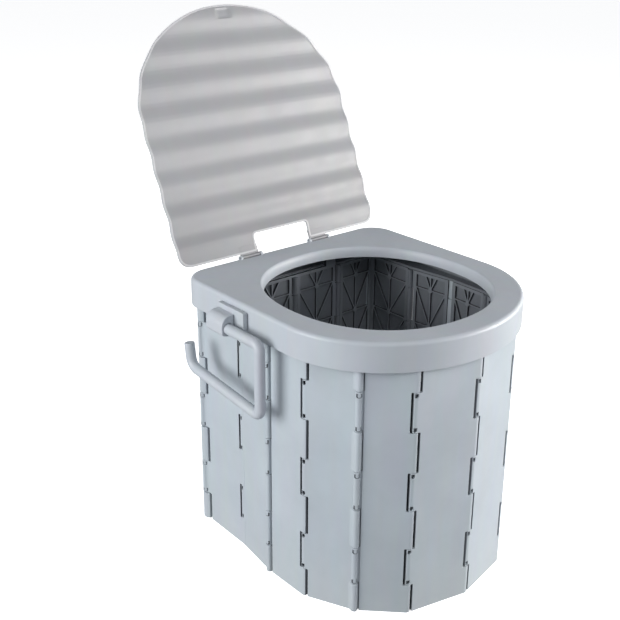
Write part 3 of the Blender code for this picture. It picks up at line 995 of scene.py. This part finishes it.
# ---------------------------------------------------------------- lid
def lid_height(x, v):
    """Height of the wavy sheet at a place on the lid, v being the distance from its axis."""
    swell = min(1.0, max(0.0, (v - WAVE_START) / WAVE_RISE))
    z = -LID_OFFSET + swell * LID_WAVE * math.sin(2.0 * math.pi * (v - LID_PHASE) / LID_PITCH)
    grip = max(0.0, 1.0 - ((x - GRIP_X) / GRIP_A) ** 4) * max(0.0, 1.0 - ((v - GRIP_V) / GRIP_B) ** 4)
    return z - GRIP_DEPTH * grip


def lid_outline():
    middle = LID_START + LID_STRAIGHT
    corners = [(LID_A, LID_START, LID_CORNER)]
    corners += [(x, v, 0.0) for x, v in arc(0.0, middle, LID_A, LID_B, 0.0, math.pi, 72)]
    corners += [(-LID_A, LID_START, LID_CORNER), (-NOTCH_X, LID_START, 3.0),
                (-NOTCH_X, NOTCH_V, 4.5), (NOTCH_X, NOTCH_V, 4.5), (NOTCH_X, LID_START, 3.0)]
    return rounded(corners, 8)


def build_lid_sheet(outline, frame_up):
    sheet = plate([outline], -0.5 * LID_T, 0.5 * LID_T, 0.3)
    slice_rows(sheet, [8.0 + 2.0 * k for k in range(147)], 1)
    slice_rows(sheet, [-15.0 + 2.0 * k for k in range(15)], 0)
    move_points(sheet, lambda x, v, z: (x, v, z + lid_height(x, v)))
    bmesh.ops.transform(sheet, matrix=frame_up, verts=sheet.verts)
    piece("lid_sheet", sheet, LID, "lid", ("lid",), 24.0)


def build_lid_rim(outline, frame_up):
    """A flat bead that follows the edge and its waves."""
    path = []
    for p, q in zip(outline, outline[1:] + outline[:1]):
        p, q = Vector(p), Vector(q)
        count = max(1, int((q - p).length / 2.0))
        path += [p + (q - p) * k / count for k in range(count)]
    rim = bmesh.new()
    loops = []
    for k, point in enumerate(path):
        t = (path[(k + 1) % len(path)] - path[k - 1]).normalized()
        normal = Vector((-t.y, t.x))
        loop = []
        for out, up in RIM_SECTION:
            at = point + normal * out
            loop.append(rim.verts.new((at.x * MM, at.y * MM, (up + lid_height(*point)) * MM)))
        loops.append(loop)
    loft(rim, loops, closed=True)
    bmesh.ops.transform(rim, matrix=frame_up, verts=rim.verts)
    piece("lid_rim", rim, LID_EDGE, "lid", ("lid",), 35.0)


def build_lid_lugs(frame_up):
    """Two lugs that wrap round the axis, each with a trunnion that sticks out at both ends."""
    wrap = arc(0.0, 0.0, 2.2, 2.2, math.radians(60.0), math.radians(300.0), 18)
    profile = wrap[:-2] + [(1.2, -3.2), (12.5, -3.2), (13.0, -2.0), (12.5, -0.75), (2.4, -0.75)]
    lugs = bmesh.new()
    for sign in (-1, 1):
        x0, x1 = sorted((sign * TAB_X0, sign * TAB_X1))
        join(lugs, along_x(plate([profile], x0, x1, 0.3)))
        join(lugs, along_x(plate([circle(0.0, 0.0, 1.0, 16)], x0 - 2.4, x1 + 2.4, 0.2)))
    bmesh.ops.transform(lugs, matrix=frame_up, verts=lugs.verts)
    piece("lid_hinge_lugs", lugs, LID, "lid", ("lid",), 35.0)


def build_lid():
    """The lid is drawn flat as (x, v) from its axis and then stood up with its lean."""
    outline = lid_outline()
    frame_up = Matrix.Translation(Vector(LID_AXIS) * MM) \
        @ Matrix.Rotation(math.radians(90.0 - LID_LEAN), 4, "X")
    build_lid_sheet(outline, frame_up)
    build_lid_rim(outline, frame_up)
    build_lid_lugs(frame_up)


# ---------------------------------------------------------------- paper holder
def build_holder_plate():
    corners = [(-109.0, 291.5, 2.0), (-62.5, 291.5, 2.0), (-62.5, 311.5, 2.5), (-109.0, 311.5, 2.5)]
    base = along_x(plate([rounded(corners)], -156.0, -150.4, HOLDER_BEVEL, 3))
    piece("holder_plate_body", base, HOLDER, "seat", ("holder_plate",), 32.0)


def build_holder_socket():
    profile = rounded([(-156.4, 283.0, 0.0), (-156.4, 306.0, 0.0), (-166.5, 305.2, 5.0),
                       (-172.0, 298.5, 5.0), (-172.0, 285.0, 6.0), (-165.0, 282.6, 4.0)], 8)
    body = along_y(plate([profile], -93.0, -64.0, HOLDER_BEVEL, 3))
    bore = along_y(plate([circle(ROD_X, ROD_Z, ROD_R + 0.4, 40)], -96.0, -69.0, 0.05))
    piece("holder_socket_body", cut(body, [bore]), HOLDER, "seat", ("holder_socket",),
          30.0)


def bend_points(before, corner, after, trim):
    """A bend at a corner between two directions, starting and ending a trim away from it."""
    corner = Vector(corner)
    p = corner + (Vector(before) - corner).normalized() * trim
    q = corner + (Vector(after) - corner).normalized() * trim
    return [tuple(turn_point(p, corner, q, k / 14)) for k in range(15)]


def rod_path():
    """Centre line in (y, z): out of the socket, down, back under the roll and up at the tip."""
    path = [(-70.0, ROD_Z), (-100.0, ROD_Z), (-130.0, ROD_Z)]
    path += bend_points(path[-1], (ROD_FRONT_Y, ROD_Z), (ROD_FRONT_Y, ROD_LOW_Z), 9.0)
    path += [(ROD_FRONT_Y, 262.0), (ROD_FRONT_Y, 240.0)]
    path += bend_points(path[-1], (ROD_FRONT_Y, ROD_LOW_Z), (-24.0, 222.5), 9.0)
    path += [(-110.0, 214.1), (-70.0, 218.1), (-45.0, 220.5)]
    path += bend_points(path[-1], ROD_REAR, (ROD_TIP[0], ROD_TIP[1] + 1.0), 12.0)
    path.append(ROD_TIP)
    return path


def build_holder_rod():
    """A round bar along the path, with a small round on the edge of each end."""
    path = rod_path()
    side = Vector((1.0, 0.0, 0.0))
    rod = bmesh.new()
    loops = []
    for k, (y, z) in enumerate(path):
        here = Vector((0.0, y, z))
        before = Vector((0.0, *path[max(0, k - 1)]))
        after = Vector((0.0, *path[min(len(path) - 1, k + 1)]))
        tangent = (after - before).normalized()
        up = side.cross(tangent)
        stations = [(0.0, ROD_R)]
        if k == 0:
            stations = [(0.0, ROD_R - 0.9), (0.25, ROD_R - 0.25), (0.9, ROD_R)]
        if k == len(path) - 1:
            stations = [(-0.9, ROD_R), (-0.25, ROD_R - 0.25), (0.0, ROD_R - 0.9)]
        for shift, size in stations:
            centre = here + tangent * shift
            loop = []
            for n in range(ROD_SIDES):
                a = 2.0 * math.pi * n / ROD_SIDES
                co = centre + side * (size * math.cos(a) + ROD_X) + up * (size * math.sin(a))
                loop.append(rod.verts.new(co * MM))
            loops.append(loop)
    loft(rod, loops)
    rod.faces.new(loops[0])
    rod.faces.new(loops[-1])
    piece("holder_rod_bar", rod, HOLDER, "rod", ("holder_rod",), 35.0)


# ---------------------------------------------------------------- floor, light and camera
SKY_TOP = (0.10, 0.105, 0.11)
SKY_LEVEL = (0.40, 0.41, 0.43)
SKY_LOW = (0.28, 0.29, 0.30)
FLOOR_SIZE = 60.0
PATCH_LIFT = 0.0001
CAMERA_PLACE = (-0.73008, -0.89824, 0.71491)
CAMERA_TURN = (69.17608, -0.14289, -39.38950)
WHITE = (1.0, 1.0, 1.0, 1.0)


def build_floor():
    bm = bmesh.new()
    bmesh.ops.create_grid(bm, x_segments=8, y_segments=8, size=FLOOR_SIZE)
    # Inside the ring the paper barely glows, which paints shade on the floor under the object: a
    # patch that ends under the wall lies on it.
    outline = ring_loop(0.5 * PANEL_T)
    patch = bm.faces.new([bm.verts.new((p.x * MM, p.y * MM, PATCH_LIFT)) for p in outline])
    patch.material_index = 1
    floor = show("floor", mesh_from("floor", bm))
    for name, glow in (("floor_paper", 0.75), ("floor_painted_shade_under_object", 0.04)):
        mat = bpy.data.materials.new(name)
        mat.use_nodes = True
        shader = mat.node_tree.nodes["Principled BSDF"]
        shader.inputs["Base Color"].default_value = WHITE
        shader.inputs["Roughness"].default_value = 0.9
        shader.inputs["Emission Color"].default_value = WHITE
        shader.inputs["Emission Strength"].default_value = glow
        floor.data.materials.append(mat)
    floor.visible_diffuse = False
    floor.visible_glossy = False


def build_world():
    """A soft grey sky that lights the object; the camera itself sees white."""
    world = bpy.data.worlds.new("studio")
    world.use_nodes = True
    bpy.context.scene.world = world
    tree = world.node_tree
    sky = tree.nodes["Background"]
    place = node(tree, "ShaderNodeTexCoord")
    level = map_range(tree, height_above_floor(tree, place.outputs["Generated"]), -1.0, 1.0)
    shade = ramp(tree, level, [(0.0, SKY_LOW), (0.5, SKY_LEVEL), (1.0, SKY_TOP)])
    path = node(tree, "ShaderNodeLightPath")
    tree.links.new(mix_colour(tree, path.outputs["Is Camera Ray"], shade, WHITE),
                   sky.inputs["Color"])
    sky.inputs["Strength"].default_value = 1.0


def area_light(name, place, target, size, power, colour):
    data = bpy.data.lights.new(name, "AREA")
    data.size = size
    data.energy = power
    data.color = colour
    ob = show(name, data)
    ob.location = place
    ob.rotation_euler = (Vector(target) - Vector(place)).to_track_quat("-Z", "Y").to_euler()


def build_camera():
    data = bpy.data.cameras.new("camera")
    data.sensor_width = 36.0
    data.lens = 58.99
    data.shift_x = 0.0177
    data.shift_y = -0.0410
    data.clip_start, data.clip_end = 0.01, 200.0
    ob = show("camera", data)
    turn = Euler([math.radians(angle) for angle in CAMERA_TURN]).to_matrix().to_4x4()
    ob.matrix_world = Matrix.Translation(CAMERA_PLACE) @ turn
    bpy.context.scene.camera = ob


build_wall()
build_seat_shell()
build_hinge_ears()
build_lid()
build_holder_plate()
build_holder_socket()
build_holder_rod()

build_floor()
build_world()
area_light("key", (-2.1, 0.35, 0.75), (0.0, -0.15, 0.2), 1.3, 46.0, (1.0, 0.995, 0.98))
area_light("side", (1.75, -1.5, 0.62), (0.0, -0.15, 0.2), 1.2, 72.0, (1.0, 0.965, 0.93))
area_light("rim", (1.7, -0.3, 0.66), (0.0, -0.15, 0.25), 0.8, 8.0, (1.0, 0.98, 0.96))
area_light("top", (-0.7, -1.7, 1.9), (0.0, -0.1, 0.3), 1.2, 12.0, (1.0, 1.0, 1.0))
build_camera()
bpy.context.scene.view_settings.view_transform = "Standard"
